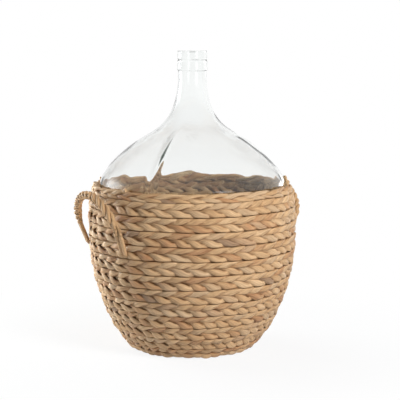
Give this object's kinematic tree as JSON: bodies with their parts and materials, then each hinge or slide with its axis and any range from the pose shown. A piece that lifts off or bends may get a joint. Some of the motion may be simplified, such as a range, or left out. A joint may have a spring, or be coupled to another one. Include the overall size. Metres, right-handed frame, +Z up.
{
  "type": "wicker demijohn",
  "caption": "Large clear glass demijohn with a slim collared neck, standing in a round twined straw basket with rope handles.",
  "frame": {"origin": "on the floor under the middle of the basket", "axes": "+Z up along the bottle's axis, the left handle on -X and the right one near +X"},
  "size_m": [0.4297, 0.3788, 0.54],
  "materials": {
    "glass": "clear colourless gloss",
    "wall_weave": "dry woven water-hyacinth straw",
    "rim_weave": "dry woven water-hyacinth straw",
    "base_weave": "dry woven water-hyacinth straw",
    "stakes": "dry flat straw stakes",
    "handle_rope": "twisted straw rope"
  },
  "bodies": {
    "basket": {"base_mat": "base_weave", "stakes": "stakes", "weft_row_01": "wall_weave", "weft_row_02": "wall_weave", "weft_row_03": "wall_weave", "weft_row_04": "wall_weave", "weft_row_05": "wall_weave", "weft_row_06": "wall_weave", "weft_row_07": "wall_weave", "weft_row_08": "wall_weave", "weft_row_09": "wall_weave", "weft_row_10": "wall_weave", "weft_row_11": "wall_weave", "weft_row_12": "wall_weave", "weft_row_13": "wall_weave", "weft_row_14": "wall_weave", "weft_row_15": "wall_weave", "weft_row_16": "wall_weave", "weft_row_17": "wall_weave", "weft_row_18": "wall_weave", "weft_row_19": "wall_weave", "weft_row_20": "wall_weave", "weft_row_21": "wall_weave", "weft_row_22": "wall_weave", "weft_row_23": "wall_weave", "weft_row_24": "wall_weave", "rim_border": "rim_weave"},
    "bottle": {"glass_bottle": "glass"},
    "handle_left": {"handle_left": "handle_rope"},
    "handle_right": {"handle_right": "handle_rope"}
  },
  "joints": [
    {"name": "bottle_lift", "type": "slide", "parent": "basket", "child": "bottle", "axis": [0, 0, 1], "range_m": [0, 0.32]},
    {"name": "handle_left_hinge", "type": "hinge", "parent": "basket", "child": "handle_left", "pos_m": [-0.18065, 0, 0.19731], "axis": [0, -1, 0], "range_deg": [-5, 60]},
    {"name": "handle_right_hinge", "type": "hinge", "parent": "basket", "child": "handle_right", "pos_m": [0.1767, 0.03756, 0.19731], "axis": [-0.2079, 0.9781, 0], "range_deg": [-5, 60]}
  ]
}
